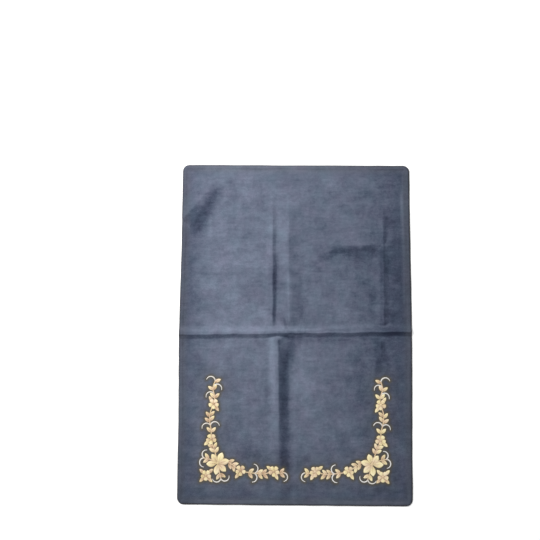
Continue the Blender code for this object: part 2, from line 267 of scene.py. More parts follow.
def apply_modifier(piece, kind, **settings):
    """Add a modifier, set it up and apply it."""
    work_on(piece)
    bpy.ops.object.modifier_add(type=kind)
    modifier = piece.modifiers[-1]
    for name, value in settings.items():
        setattr(modifier, name, value)
    bpy.ops.object.modifier_apply(modifier=modifier.name)


def triangles(piece):
    return sum(len(face.vertices) - 2 for face in piece.data.polygons)


# %% Lay the grid out
CLOTH_COLUMNS = 188
CLOTH_ROWS = 230
FINE_STEPS = 4001
# Where mesh lines are drawn together: the place, how far it reaches, and how much closer.
COLUMN_GATHERS = ((-375, 14, 2.5), (-56, 30, 1.8), (-10, 40, 0.8), (282, 24, 1.2), (375, 14, 2.5))
ROW_GATHERS = ((-550, 16, 2.5), (0, 18, 2.5), (284, 28, 0.8), (550, 16, 2.5))


def draw_together(places, half_size, gathers):
    """Slide evenly spaced mesh lines so that they are closer beside each gather."""
    fine = np.linspace(-half_size, half_size, FINE_STEPS)
    density = np.ones_like(fine)
    for at, reach, closeness in gathers:
        density = density + closeness * np.exp(-(((fine - at) / reach) ** 2))
    travelled = np.cumsum(density) - density[0]
    even = travelled / travelled[-1] * 2 * half_size - half_size
    return np.interp(places, even, fine)


work_on()
bpy.ops.mesh.primitive_grid_add(x_subdivisions=CLOTH_COLUMNS, y_subdivisions=CLOTH_ROWS, size=1)
cloth = bpy.context.object
cloth.name = cloth.data.name = "rug_cloth"
bpy.ops.transform.resize(value=(WIDTH * MM, LENGTH * MM, 1))
bpy.ops.object.transform_apply(location=False, rotation=False, scale=True)

grid = points_of(cloth)
column = draw_together(grid[:, 0], WIDTH / 2, COLUMN_GATHERS) / (WIDTH / 2)
y = draw_together(grid[:, 1], LENGTH / 2, ROW_GATHERS)
x = column * half_width(column, y)
print("mesh lines:", CLOTH_COLUMNS, "by", CLOTH_ROWS)

# %% Lean the lines along the creases, and raise the cloth
CROSS_LEAN = 14 / 760  # the cross crease's climb from left to right
CROSS_DROP = 5  # how far below the rug's middle it passes
CROSS_PULL = 360.0  # how far from the cross crease the lines still lean with it
CENTRE_X = -56.0
CENTRE_LEAN = -0.018
CENTRE_PULL = 150.0
EDGE_WANDER = 0.7
RIM_WIDTH = 35  # the wandering edge draws the cloth along over this width
SIDES_APART = 40  # far enough apart in the noise for opposite edges to wander differently

y = y + np.maximum(0, 1 - np.abs(y) / CROSS_PULL) * (CROSS_LEAN * x - CROSS_DROP)
x = x + np.maximum(0, 1 - np.abs(x - CENTRE_X) / CENTRE_PULL) * CENTRE_LEAN * y
z = THICKNESS + cloth_lift(x, y)
at_side = smooth_step(1 - (WIDTH / 2 - np.abs(x)) / RIM_WIDTH)
at_end = smooth_step(1 - (LENGTH / 2 - np.abs(y)) / RIM_WIDTH)
x = x + EDGE_WANDER * at_side * soft_noise(np.sign(x) * SIDES_APART, y, 1, 46, 7.7)
y = y + EDGE_WANDER * at_end * soft_noise(x, np.sign(y) * SIDES_APART, 53, 1, 8.3)
move_points(cloth, np.column_stack((x, y, z)))
print("highest crease above the ground:", round(float(z.max()), 2))

# %% [markdown]
# The sheet gets its thickness from Solidify, which grows it downwards and closes the rim. The
# underside is then pressed flat where the rug lies on the ground, and a small Bevel rounds
# the rim, as the turned edge of a pressed seam is.

# %% Give the cloth its thickness
RIM_BEVEL = 0.7
BEVEL_FROM = math.radians(55)  # only the rim bends more sharply than this

apply_modifier(cloth, "SOLIDIFY", thickness=THICKNESS * MM, offset=-1)
pressed_flat = points_of(cloth)
pressed_flat[:, 2] = np.maximum(pressed_flat[:, 2], 0)
move_points(cloth, pressed_flat)
apply_modifier(
    cloth, "BEVEL", width=RIM_BEVEL * MM, segments=2, limit_method="ANGLE", angle_limit=BEVEL_FROM
)
work_on(cloth)
bpy.ops.object.shade_smooth_by_angle(angle=SMOOTH_ANGLE)
print("cloth:", triangles(cloth), "triangles")

# %% [markdown]
# ## Painted light and shade, and the nap
#
# Velvet is dark or light by the way its pile leans, and a crease shows much stronger in it
# than in plain cloth. Here that is painted light and shade: each point keeps a number worked
# out from its slope, so that the flank of a fold that faces the light is painted lighter and
# the flank turned away from it is painted darker. Beside the creases, bands of painted light
# and shade follow the lines, some with crushed pile in them as well, and broad patches of
# painted light and shade make the upper left lighter and the right side and foot darker,
# mixed with the nap's own lighter and darker places. Both are placed from tables. The rim is
# painted dark all round, as shade where the edge rolls down, and the pressed strip inside it
# is calmer.

# %% List the bands of painted light and shade
# A band of painted shade (below 0) or painted light (above 0) along a line, with crushed pile
# in some of the dark ones and rubbed pile in some of the light ones: both ends of the line, how
# far the band reaches on both sides at either end, the lengths of its fades, and its shade.
BANDS = (
    # Beside and on the centre crease, foot half
    (-36, -20, -30, -480, 17, 18, 110, 70, -0.20),
    (-31, -350, -30, -548, 16, 18, 50, 6, -0.11),
    (-4, -12, -22, -130, 24, 12, 12, 60, -0.19),
    (-79, -14, -66, -320, 10, 7, 12, 160, 0.13),
    (-55, -18, -54, -78, 6, 5, 10, 30, -0.15),
    (-92, -165, -90, -245, 8, 8, 25, 25, -0.11),
    # Above the crossing, beside the centre line
    (-71, 14, -64, 270, 5, 11, 40, 80, -0.22),
    (-83, 24, -80, 270, 9, 10, 30, 60, -0.09),
    (-42, 18, -44, 260, 20, 20, 20, 60, -0.07),
    (-17, 16, -19, 230, 7, 7, 20, 60, 0.07),
    (24, 14, 4, 190, 20, 14, 40, 60, -0.08),
    (66, 18, 30, 175, 14, 12, 40, 60, 0.03),
    # The cross crease: its crest, and below it
    (-380, -8, 0, -2, 5, 5, 5, 8, -0.10),
    (0, 1, 380, 13, 4, 11, 12, 4, -0.11),
    (-5, -26, 290, -22, 15, 10, 20, 150, -0.13),
    (-335, -30, -200, -26, 12, 8, 10, 80, -0.06),
    # The side crease
    (281, 20, 280, 330, 6, 6, 30, 60, -0.08),
    (296, 20, 295, 330, 6, 6, 30, 60, 0.06),
    (260, 24, 262, 200, 10, 10, 40, 60, 0.03),
    (267, -14, 264, -175, 11, 11, 10, 60, -0.17),
    # Under the quarter crease
    (110, 258, 310, 261, 22, 19, 80, 60, -0.15),
    (100, 264, 215, 263, 16, 15, 25, 60, -0.18),
    (66, 230, 140, 256, 12, 14, 25, 20, -0.12),
    # Where the creases cross
    (-54, -17, 32, -22, 6, 8, 12, 16, -0.12),
    (-22, 5, 110, 8, 4, 4, 14, 50, 0.11),
    (-28, -4, 48, -4, 4, 4, 12, 24, -0.12),
    (-10, -9, 28, -8, 4, 4, 8, 12, -0.12),
    (-38, 50, -30, 7, 3, 5, 12, 4, -0.16),
    # Painted light along the seam allowance's step, and painted light and shade along the rims
    (354, 60, 349, 480, 4, 4, 60, 60, 0.09),
    (350, 330, 345, 470, 3, 4, 60, 20, 0.12),
    (-350, -546, 350, -546, 6, 6, 20, 20, 0.07),
    (-369, -40, -367, -500, 9, 9, 30, 30, 0.05),
    (366, -40, 364, -500, 8, 8, 30, 30, -0.05),
    # Where the cross crease's painted shade is lightened towards the edges
    (-384, -17, -325, -17, 9, 6, 1, 40, 0.17),
    (335, -5, 384, -5, 5, 7, 30, 1, 0.07),
    # The corner slant's painted shade
    (-244, 487, -344, 308, 22, 20, 40, 50, -0.25),
)
print("bands:", len(BANDS))

# %% List the patches
# Patches of painted light and shade, mixed with the nap's own lighter and darker places: the
# middle, the reach each way, and the shade.
PATCHES = (
    (335, 0, 105, 1500, -0.22), (-373, 0, 70, 1500, -0.20),
    (0, -570, 1500, 150, -0.15), (-345, -500, 70, 60, 0.05),
    (350, -440, 60, 100, 0.10), (270, -540, 120, 35, 0.07),
    (335, 130, 40, 150, -0.04), (306, 300, 18, 40, 0.07),
    (343, 235, 18, 50, -0.06), (-370, 240, 40, 110, -0.04),
    # Next, a faint painted shadow, as from a cloth lying over the head end, and a broad painted
    # light over the upper left.
    (-187, 315, 60, 60, -0.06), (-200, 120, 150, 420, 0.05),
    (120, 60, 130, 700, -0.05), (30, -190, 45, 100, 0.10),
    (22, -88, 26, 30, 0.05), (8, -167, 24, 26, 0.07),
    (255, 125, 40, 45, -0.05), (85, -147, 25, 20, 0.06),
    (85, -265, 30, 20, 0.06), (184, -343, 25, 25, 0.06),
    (223, -304, 20, 25, -0.06), (-29, -210, 14, 30, -0.08),
    (-230, 20, 150, 30, 0.05), (-320, 8, 60, 14, -0.06),
    (-130, 150, 60, 40, -0.05), (-250, 235, 90, 30, 0.02),
    (-170, 190, 60, 18, -0.05), (160, -215, 90, 40, -0.05),
    (130, -310, 80, 40, 0.05), (190, -90, 30, 60, -0.05),
    (80, -170, 60, 60, 0.03), (-150, -70, 80, 30, 0.03),
    (-190, -170, 60, 70, -0.04), (-240, -340, 70, 60, -0.06),
    (-120, -410, 80, 50, -0.07), (125, -365, 70, 25, -0.06),
    (205, 205, 75, 50, -0.07), (150, 90, 50, 80, 0.07),
    (215, -180, 50, 110, -0.05), (-170, -285, 40, 35, -0.08),
    (-150, -500, 40, 20, -0.06),
)
print("patches:", len(PATCHES))

# %% Work out the painted light and shade, with the nap
TOWARDS_LIGHT = Vector((-0.62, 0.78))  # the side the light comes from: up and to the left
SLOPE_STEP = 2.0
# The most painted light that a slope facing the light gives, the most painted shade for one
# turned away, and for each the slope that gives most of it.
PAINTED_LIGHT, PAINTED_LIGHT_AT = 0.15, 0.14
PAINTED_SHADE, PAINTED_SHADE_AT = 0.22, 0.16
BAND_FLATNESS = 2.6  # 2 for a bell across the band; more for a flat middle and steeper sides
# Painted shade along the rim, where the edge rolls down to the ground.
RIM_PAINTED_SHADE = 0.30
RIM_REACH = 7.0
# The pressed strip along the edge is calmer: how deep it is, how softly it ends, and how much.
CALM_REACH = 56.0
CALM_SOFTNESS = 24.0
CALM_SHARE = 0.36


def painted_light_and_nap_of(x, y):
    """Painted light and shade with the nap: 0 is dark, 0.5 is at rest, 1 is light."""
    # A slope that faces the light is painted lighter, one turned away from it painted darker.
    step_x, step_y = TOWARDS_LIGHT * SLOPE_STEP
    rise = cloth_lift(x - step_x, y - step_y) - cloth_lift(x + step_x, y + step_y)
    slope = rise / (2 * SLOPE_STEP)
    painted_light_and_nap = 0.5 + PAINTED_LIGHT * np.tanh(np.maximum(0, slope) / PAINTED_LIGHT_AT)
    painted_light_and_nap = painted_light_and_nap - PAINTED_SHADE * np.tanh(np.maximum(0, -slope) / PAINTED_SHADE_AT)
    painted_light_and_nap = painted_light_and_nap - RIM_PAINTED_SHADE * np.maximum(0, 1 - edge_distance(x, y) / RIM_REACH)
    # Bands, then patches, of painted light and shade.
    for *line, first, last, fade_in, fade_out, shade in BANDS:
        length, travelled, off = follow(line, x, y)
        reach = first + (last - first) * np.clip(travelled / length, 0, 1)
        fade = smooth_step(travelled / fade_in) * smooth_step((length - travelled) / fade_out)
        painted_light_and_nap = painted_light_and_nap + shade * fade * np.exp(-np.abs(off / reach) ** BAND_FLATNESS)
    for middle_x, middle_y, reach_x, reach_y, shade in PATCHES:
        away = ((x - middle_x) / reach_x) ** 2 + ((y - middle_y) / reach_y) ** 2
        painted_light_and_nap = painted_light_and_nap + shade * np.exp(-away)
    return np.clip(painted_light_and_nap, 0, 1)


finished = points_of(cloth)
finished_x, finished_y = finished[:, 0], finished[:, 1]
inside = edge_distance(finished_x, finished_y)
painted_light_and_nap = painted_light_and_nap_of(finished_x, finished_y)
write_values(cloth, "painted_light_and_nap", painted_light_and_nap)
calm = CALM_SHARE * smooth_step((CALM_REACH - inside) / CALM_SOFTNESS)
write_values(cloth, "unrest", 1 - calm)
print("nap from", round(float(painted_light_and_nap.min()), 2), "to", round(float(painted_light_and_nap.max()), 2))

# %% [markdown]
# ## The velvet finish
#
# Up close, the face is a short dense pile; from a step away it is mottled, with fine brushed
# streaks across the rug. The colour ramp goes from dark to light, and the painted light and
# shade with the nap, and all that makes it uneven, are added before it, each at its own
# scale. Sheen gives the pale bloom that velvet has at a low angle. A picture could give the
# same, but for one rug only.

# %% Helpers for the finishes
def new_finish(name):
    """An empty material with its shader: the material, its tree and the shader."""
    made = bpy.data.materials.new(name)
    made.use_nodes = True
    return made, made.node_tree, made.node_tree.nodes["Principled BSDF"]


def set_inputs(node, values):
    """Set a node's inputs by name, each straight on its socket."""
    for name, value in values.items():
        node.inputs[name].default_value = value


def math_node(tree, operation, first, second):
    """One sum of two values, each a socket or a number."""
    node = tree.nodes.new("ShaderNodeMath")
    node.operation = operation
    for socket, value in zip(node.inputs, (first, second)):
        if isinstance(value, (int, float)):
            socket.default_value = value
        else:
            tree.links.new(value, socket)
    return node.outputs[0]


def noise_node(tree, coordinates, patch, detail=3.0, roughness=0.55):
    """Noise in patches of that size in millimetres, as a socket from 0 to 1."""
    place = tree.nodes.new("ShaderNodeMapping")
    set_inputs(place, {"Scale": [1 / (size * MM) for size in patch]})
    made = tree.nodes.new("ShaderNodeTexNoise")
    set_inputs(made, {"Scale": 1.0, "Detail": detail, "Roughness": roughness})
    tree.links.new(coordinates, place.inputs["Vector"])
    tree.links.new(place.outputs["Vector"], made.inputs["Vector"])
    return made.outputs["Fac"]


def attribute_node(tree, name):
    """The number that each point keeps under this name, as a socket."""
    node = tree.nodes.new("ShaderNodeAttribute")
    node.attribute_name = name
    return node.outputs["Fac"]


def add_share(tree, total, part, weight):
    """total + (part - 0.5) * weight, so that an even part changes nothing on average."""
    centred = math_node(tree, "SUBTRACT", part, 0.5)
    return math_node(tree, "ADD", total, math_node(tree, "MULTIPLY", centred, weight))


def ramp_node(tree, value, stops):
    """A colour for each value, from a table of (place, colour)."""
    ramp = tree.nodes.new("ShaderNodeValToRGB")
    elements = ramp.color_ramp.elements
    while len(elements) < len(stops):
        elements.new(0.5)
    for element, (place, colour) in zip(elements, stops):
        element.position = place
        element.color = (*colour, 1.0)
    tree.links.new(value, ramp.inputs["Fac"])
    return ramp.outputs["Color"]


def mix_colours(tree, share, first, second):
    """The first colour where share is 0, the second where it is 1. Each is a socket or a colour."""
    mix = tree.nodes.new("ShaderNodeMix")
    mix.data_type = "RGBA"
    for place, value in ((0, share), (6, first), (7, second)):
        if isinstance(value, tuple):
            mix.inputs[place].default_value = (*value, 1.0)
        else:
            tree.links.new(value, mix.inputs[place])
    return mix.outputs[2]


def add_bump(tree, shader, height, distance, strength=1.0):
    """Small relief of that many millimetres, from a height between 0 and 1."""
    bump = tree.nodes.new("ShaderNodeBump")
    set_inputs(bump, {"Distance": distance * MM, "Strength": strength})
    tree.links.new(height, bump.inputs["Height"])
    tree.links.new(bump.outputs["Normal"], shader.inputs["Normal"])


# %% Mix the velvet
COOL_PILE = (
    (0.0, (0.008, 0.014, 0.031)), (0.25, (0.039, 0.055, 0.087)),
    (0.5, (0.089, 0.114, 0.158)), (1.0, (0.200, 0.248, 0.325)),
)
WARM_PILE = (
    (0.0, (0.010, 0.013, 0.031)), (0.25, (0.047, 0.055, 0.091)),
    (0.5, (0.105, 0.114, 0.165)), (1.0, (0.227, 0.248, 0.343)),
)
SHADED_PILE = (0.094, 0.080, 0.052)  # navy in shadow, with gold light thrown into it

# What makes the pile uneven, broad to fine: the size of its patches, its detail and its share.
LAYERS = {
    "blotches": ((130, 90, 100), 2, 0.24),
    "smudges": ((46, 34, 30), 3, 0.38),
    "brushing": ((16, 44, 30), 3, 0.16),
    "streaks": ((60, 8, 40), 3, 0.16),
    "mottling": ((12, 10, 12), 3, 0.19),
    "flecks": ((5.5, 3.5, 5.0), 2, 0.17),
}
PILE_SHARE = 0.65
CAST_CONTRAST = 1.4  # how clearly cool and warm places part
PILE_HEIGHT = 0.6
PILE_STRENGTH = 0.8
MOTTLE_RELIEF = 0.3  # how much the mottling shows in the relief

velvet, tree, shader = new_finish("navy velvet")
coordinates = tree.nodes.new("ShaderNodeTexCoord").outputs["Object"]
uneven = 0.0
layers = {}
for name, (patch, detail, share) in LAYERS.items():
    layers[name] = noise_node(tree, coordinates, patch, detail)
    uneven = add_share(tree, uneven, layers[name], share)
uneven = math_node(tree, "MULTIPLY", uneven, attribute_node(tree, "unrest"))
shade = math_node(tree, "ADD", attribute_node(tree, "painted_light_and_nap"), uneven)
pile = noise_node(tree, coordinates, (1.1, 0.8, 0.9), 3, 0.7)
shade = add_share(tree, shade, pile, PILE_SHARE)
cast = noise_node(tree, coordinates, (55, 70, 60), 3)
cast = add_share(tree, cast, cast, CAST_CONTRAST)
cool, warm = ramp_node(tree, shade, COOL_PILE), ramp_node(tree, shade, WARM_PILE)
colour = mix_colours(tree, cast, cool, warm)
# Beside the stitches and at the rim, a painted shadow colour with gold light in it is mixed in.
colour = mix_colours(tree, attribute_node(tree, "painted_shadow_tint"), colour, SHADED_PILE)
tree.links.new(colour, shader.inputs["Base Color"])
relief = add_share(tree, pile, layers["mottling"], MOTTLE_RELIEF)
add_bump(tree, shader, relief, PILE_HEIGHT, PILE_STRENGTH)
set_inputs(shader, {"Roughness": 0.92, "Specular IOR Level": 0.2})
set_inputs(shader, {"Sheen Weight": 0.28, "Sheen Roughness": 0.4})
set_inputs(shader, {"Sheen Tint": (0.72, 0.80, 1.0, 1.0)})
cloth.data.materials.append(velvet)
print("velvet:", len(tree.nodes), "nodes")

# %% [markdown]
# ## Stitches
#
# Satin stitch lays threads side by side until they fill a shape. Each thread is a fine ridge
# that dives into the cloth at both ends, so the edge of the shape is slightly notched. A
# texture could only paint that. Here each shape is a grid whose lines run with the threads:
# every second line is lifted, the border is drawn down into the pile, and the underside is
# closed. One helper does it for every shape below.

# %% Helpers that work on a piece's points
STITCH_GAP = 0.3  # the embroidery's own ground is this far above the velvet's base
GROUND = THICKNESS + STITCH_GAP
RIM_HEIGHT = -0.15  # a shape's border is this far above that ground: it dives into the pile
SUNK_TO = THICKNESS - 0.2  # where the threads' ends are buried in the pile
THREAD_PITCH = 0.54
THREAD_RISE = 0.12


def edit_points(piece, chosen):
    """Open the piece in edit mode with only these points selected."""
    work_on(piece)
    bpy.ops.object.mode_set(mode="EDIT")
    bpy.ops.mesh.select_mode(type="VERT")
    bpy.ops.mesh.select_all(action="DESELECT")
    bpy.ops.object.mode_set(mode="OBJECT")
    piece.data.vertices.foreach_set("select", chosen)
    bpy.ops.object.mode_set(mode="EDIT")


def close_pole(piece, chosen):
    """Bring these points together in one."""
    edit_points(piece, chosen)
    bpy.ops.mesh.merge(type="CENTER")
    bpy.ops.object.mode_set(mode="OBJECT")


def raise_threads(piece, lifted):
    """Lift these points, the tops of the threads, and remember them for the finish."""
    write_values(piece, "ridge", lifted)
    edit_points(piece, lifted)
    bpy.ops.transform.translate(value=(0, 0, THREAD_RISE * MM))
    bpy.ops.object.mode_set(mode="OBJECT")


def sink_border(piece):
    """Draw the open border down into the pile, and close the underside."""
    edit_points(piece, np.zeros(len(piece.data.vertices), bool))
    bpy.ops.mesh.select_non_manifold()
    bpy.ops.mesh.extrude_region_move()
    bpy.ops.transform.resize(value=(1, 1, 0), center_override=(0, 0, SUNK_TO * MM))
    bpy.ops.mesh.edge_face_add()
    bpy.ops.mesh.select_all(action="SELECT")
    bpy.ops.mesh.normals_make_consistent(inside=False)
    bpy.ops.object.mode_set(mode="OBJECT")

# %% A helper that turns a flat grid into stitches
AT_END = 0.001  # closer to a shape's end than this share of its length is the end itself


def thread_map(piece, across, share, along):
    """Lay the UV map out in threads: U counts threads, and V runs along them in millimetres."""
    points = points_of(piece)
    start = points[np.argmin(share), :2]
    far = np.hypot(points[:, 0] - start[0], points[:, 1] - start[1])
    places = np.column_stack((points[:, 0], far) if along else (share * far.max(), points[:, 0]))
    corner = np.empty(len(piece.data.loops), int)
    piece.data.loops.foreach_get("vertex_index", corner)
    piece.data.uv_layers.active.data.foreach_set("uv", places[corner].ravel())


def stitch_grid(name, columns, rows, shape, toned, along=False):
    """A stitched shape, its threads across it or along it.

    shape(across, share) moves the flat grid: across goes from -1 to 1, and share from 0 at
    the root to 1 at the tip. toned(across, share) gives the thread's tone there.
    """
    work_on()
    bpy.ops.mesh.primitive_grid_add(x_subdivisions=columns, y_subdivisions=rows, size=2 * MM)
    piece = bpy.context.object
    piece.name = piece.data.name = name
    flat = points_of(piece)
    across, share = flat[:, 0], np.clip((flat[:, 1] + 1) / 2, 0, 1)
    line = np.round((across + 1) / 2 * columns) if along else np.round(share * rows)
    inner = (share > AT_END) & (share < 1 - AT_END)
    move_points(piece, shape(across, share))
    raise_threads(piece, (line % 2 == 1) & inner)
    write_values(piece, "tone", toned(across, share))
    thread_map(piece, across, share, along)
    close_pole(piece, share < AT_END)
    left = len(piece.data.vertices)
    close_pole(piece, np.arange(left) >= left - (columns + 1))
    sink_border(piece)
    return piece


print("threads in 10 mm of satin stitch:", round(10 / THREAD_PITCH, 1))

# %% [markdown]
# ## Leaves and petals
#
# A leaf or a petal opens from its root and closes at its tip. Two numbers say how: a small
# one opens or closes bluntly, a large one in a long point. In a leaf and in a large petal
# two rows of slanting stitches meet in a vein. A small petal has its threads lengthwise, so
# they spread from the flower's heart.

# %% Model one leaf, one large petal and one small petal
Lobe = namedtuple("Lobe", "name length width height opens closes lean vein along sections")
LEAF = Lobe("leaf", 20.8, 10.9, 0.95, 0.60, 0.75, 0.20, 0.35, False, 8)
BIG_PETAL = Lobe("big_petal", 33.8, 19.2, 1.15, 1.15, 0.90, 0.16, 0.40, False, 12)
SMALL_PETAL = Lobe("small_petal", 15.0, 13.5, 1.1, 0.87, 0.45, 0.0, 0.0, True, 12)
LOBE_FLATNESS = 2.4  # how flat a lobe is on top before it falls off to its border
VEIN_WIDTH = 0.16  # as a share of the half width
# The thread's tone is painted darker in the vein and along the border, as shade.
VEIN_PAINTED_SHADE_WIDTH = 0.22
VEIN_PAINTED_SHADE = 0.9
BORDER_PAINTED_SHADE = 0.75


def lobe_width(lobe, share):
    """The outline's half width at a share of the length."""
    widest = lobe.opens / (lobe.opens + lobe.closes)
    outline = share**lobe.opens * (1 - share) ** lobe.closes
    return lobe.width / 2 * outline / (widest**lobe.opens * (1 - widest) ** lobe.closes)


def model_lobe(lobe):
    """One stitched lobe with its root at the origin and its tip along +Y."""

    def shape(across, share):
        reached = share + lobe.lean * np.abs(across) * share * (1 - share)
        if lobe.along:
            reached = (1 - np.cos(math.pi * share)) / 2
        half = lobe_width(lobe, reached)
        full = np.sqrt(half / (lobe.width / 2))
        dome = (1 - np.abs(across) ** LOBE_FLATNESS) * full
        vein = lobe.vein * np.exp(-((across / VEIN_WIDTH) ** 2)) * full
        height = GROUND + RIM_HEIGHT + (lobe.height - RIM_HEIGHT) * dome - vein
        return np.column_stack((across * half, reached * lobe.length, height))

    def toned(across, share):
        """Paler towards the tip, with painted shade in the vein and along the border."""
        vein = (lobe.vein > 0) * np.exp(-((across / VEIN_PAINTED_SHADE_WIDTH) ** 2)) * (1 - share)
        return share - VEIN_PAINTED_SHADE * vein - BORDER_PAINTED_SHADE * np.abs(across) ** 5

    threads = round((lobe.width if lobe.along else lobe.length) / THREAD_PITCH)
    columns, rows = lobe.sections, 2 * threads
    if lobe.along:
        columns, rows = rows, columns
    made = stitch_grid(lobe.name, columns, rows, shape, toned, lobe.along)
    print(lobe.name + ":", threads, "threads,", triangles(made), "triangles")
    return made


leaf = model_lobe(LEAF)
big_petal = model_lobe(BIG_PETAL)
small_petal = model_lobe(SMALL_PETAL)

# %% [markdown]
# ## A flower's heart
#
# A small padded knot covers the petals' roots. It is half of a sphere that is squeezed and
# cut off in the pile with Bisect. Every second spoke is lifted, as a thread over the knot.

# %% Model the knot
HEART_RADIUS = 4.5
HEART_HEIGHT = 1.5
HEART_SPOKES = 36
HEART_RINGS = 12
HEART_POLE = 0.3  # nearer to its middle than this, the knot stays smooth
KNOT_TONE = 0.2  # on the scale on which a petal goes from 0 at its root to 1 at its tip

work_on()
bpy.ops.mesh.primitive_uv_sphere_add(
    segments=HEART_SPOKES,
    ring_count=HEART_RINGS,
    radius=HEART_RADIUS * MM,
    location=(0, 0, GROUND * MM),
)
heart = bpy.context.object
heart.name = heart.data.name = "heart"
bpy.ops.object.transform_apply(location=True, rotation=False, scale=False)
bpy.ops.object.mode_set(mode="EDIT")
bpy.ops.transform.resize(
    value=(1, 1, HEART_HEIGHT / HEART_RADIUS), center_override=(0, 0, GROUND * MM)
)
bpy.ops.mesh.bisect(
    plane_co=(0, 0, SUNK_TO * MM), plane_no=(0, 0, 1), use_fill=True, clear_inner=True
)
bpy.ops.object.mode_set(mode="OBJECT")
knot = points_of(heart)
spoke = np.round(np.arctan2(knot[:, 1], knot[:, 0]) / (2 * math.pi) * HEART_SPOKES)
off_middle = np.hypot(knot[:, 0], knot[:, 1]) > HEART_POLE
raise_threads(heart, (spoke % 2 == 1) & off_middle & (knot[:, 2] > GROUND))
write_values(heart, "tone", np.full(len(knot), KNOT_TONE))
print("heart:", triangles(heart), "triangles")

# %% [markdown]
# ## Tendrils and stems
#
# A tendril is a narrow satin band that leaves the stem and hooks back round a circle, thinner
# towards its tip. A stem is the same band along a smooth path, with slanting stitches. Both
# are a long narrow grid laid along a path, so they share a helper.

# %% A helper that lays a stitched band along a path
BAND_SECTIONS = 4
SATIN_FLATNESS = 2.2  # how flat a stitched band is on top
STEM_TONE = 0.35


def measure(path):
    """The distance travelled at each point of a path."""
    steps = np.hypot(*np.diff(path, axis=0).T)
    return np.concatenate(([0.0], np.cumsum(steps)))


def stitched_band(name, path, width, taper, height, pitch, slant):
    """A band along a path, with its stitches slanting forwards.

    At its far end it has lost taper of its width, and a band that tapers gets paler too.
    """
    travelled = measure(path)
    length = travelled[-1]
    turned = np.unwrap(np.arctan2(*np.gradient(path, axis=0).T[::-1]))

    def shape(across, share):
        wide = width / 2 * (1 - taper * share**2)
        from_end = np.minimum(share, 1 - share) * length / (width / 2)
        wide = wide * np.sqrt(np.clip(1 - (1 - np.minimum(from_end, 1)) ** 2, 0, 1))
        at = np.clip(share * length + slant * across * wide, 0, length)
        heading = np.interp(at, travelled, turned)
        x = np.interp(at, travelled, path[:, 0]) - np.sin(heading) * across * wide
        y = np.interp(at, travelled, path[:, 1]) + np.cos(heading) * across * wide
        dome = (1 - np.abs(across) ** SATIN_FLATNESS) * np.minimum(1, from_end)
        return np.column_stack((x, y, GROUND + RIM_HEIGHT + (height - RIM_HEIGHT) * dome))

    def toned(across, share):
        return np.where(taper > 0, share, STEM_TONE)

    return stitch_grid(name, BAND_SECTIONS, 2 * round(length / pitch), shape, toned)


# %% Model a tendril that turns left and one that turns right
CURL_WIDTH = 4.1
CURL_HEIGHT = 0.8
CURL_RADIUS = 14.0
CURL_SWEEP = math.radians(165)
CURL_LEAN = math.radians(18)  # between the stem and the tendril, where it leaves
CURL_TAPER = 0.6
CURL_POINTS = 60


def model_curl(name, turn):
    """A tendril from the origin off a stem along +Y. turn is 1 leftwards and -1 rightwards."""
    angle = CURL_LEAN + CURL_SWEEP * np.linspace(0, 1, CURL_POINTS)
    sideways = -turn * CURL_RADIUS * (math.cos(CURL_LEAN) - np.cos(angle))
    ahead = CURL_RADIUS * (np.sin(angle) - math.sin(CURL_LEAN))
    path = np.column_stack((sideways, ahead))
    made = stitched_band(name, path, CURL_WIDTH, CURL_TAPER, CURL_HEIGHT, THREAD_PITCH, 0)
    print(name + ":", triangles(made), "triangles")
    return made


curls = {1: model_curl("curl_left", 1), -1: model_curl("curl_right", -1)}

# %% [markdown]
# ## The layout of a spray
#
# The spray is drawn once, from the middle of its large flower: outwards to the rug's side and
# up to its head end. The tables say how the stems run and what grows on them, as in the
# solids. The left spray is the right one mirrored, but both lean a little to the right and
# climb towards the middle, because the cloth wasn't hooped straight.

# %% The stems and what grows on them
SPRAY_OUT = 246.0  # the large flower's middle, from the rug's centre line
SPRAY_UP = 129.0  # the same, from the foot edge
SPRAY_LEAN = 0.035  # sideways for each millimetre up
SPRAY_CLIMB = 0.016  # upwards for each millimetre inwards

# Each place on a stem is so far outwards and so far up from the large flower's middle.
RISE = (
    (0, 0), (12, 40), (25, 75), (26, 103), (32, 132),
    (32, 160), (23, 187), (20, 209), (27, 238), (20, 264),
)
RUN = (
    (0, 0), (-30, 5), (-74, -23), (-92, -28), (-122, -32),
    (-150, -34), (-180, -26), (-198, -32), (-216, -30),
)
SIDE_TWIG = ((0, 0), (25, 13), (50, 18))
FOOT_TWIG = ((0, 0), (-6, -25), (-13, -49))
CORNER_FLOWER = (36, -37)

# What grows on a stem: its kind, the sides it is on, and how far along the stem each one is.
RISE_GROWTH = (
    ("leaf", "L", (35, 50, 140, 156, 266)),
    ("leaf", "R", (38, 53, 136, 152)),
    ("leaf", "LR", (103, 214, 240)),
    ("curl", "LR", (124,)),
    ("curl", "L", (252,)),
    ("curl", "R", (227, 269)),
    ("flower", "", (81, 195)),
)
RUN_GROWTH = (
    ("leaf", "L", (38, 53, 141, 157)),
    ("leaf", "R", (34, 49, 138, 153)),
    ("leaf", "LR", (110, 212)),
    ("curl", "LR", (128,)),
    ("curl", "L", (225,)),
    ("flower", "", (83, 192)),
)
TWIG_GROWTH = (("leaf", "LR", (33,)), ("curl", "L", (47,)), ("curl", "R", (51,)))
STEMS = (
    (RISE, RISE_GROWTH), (RUN, RUN_GROWTH),
    (SIDE_TWIG, TWIG_GROWTH), (FOOT_TWIG, TWIG_GROWTH),
)

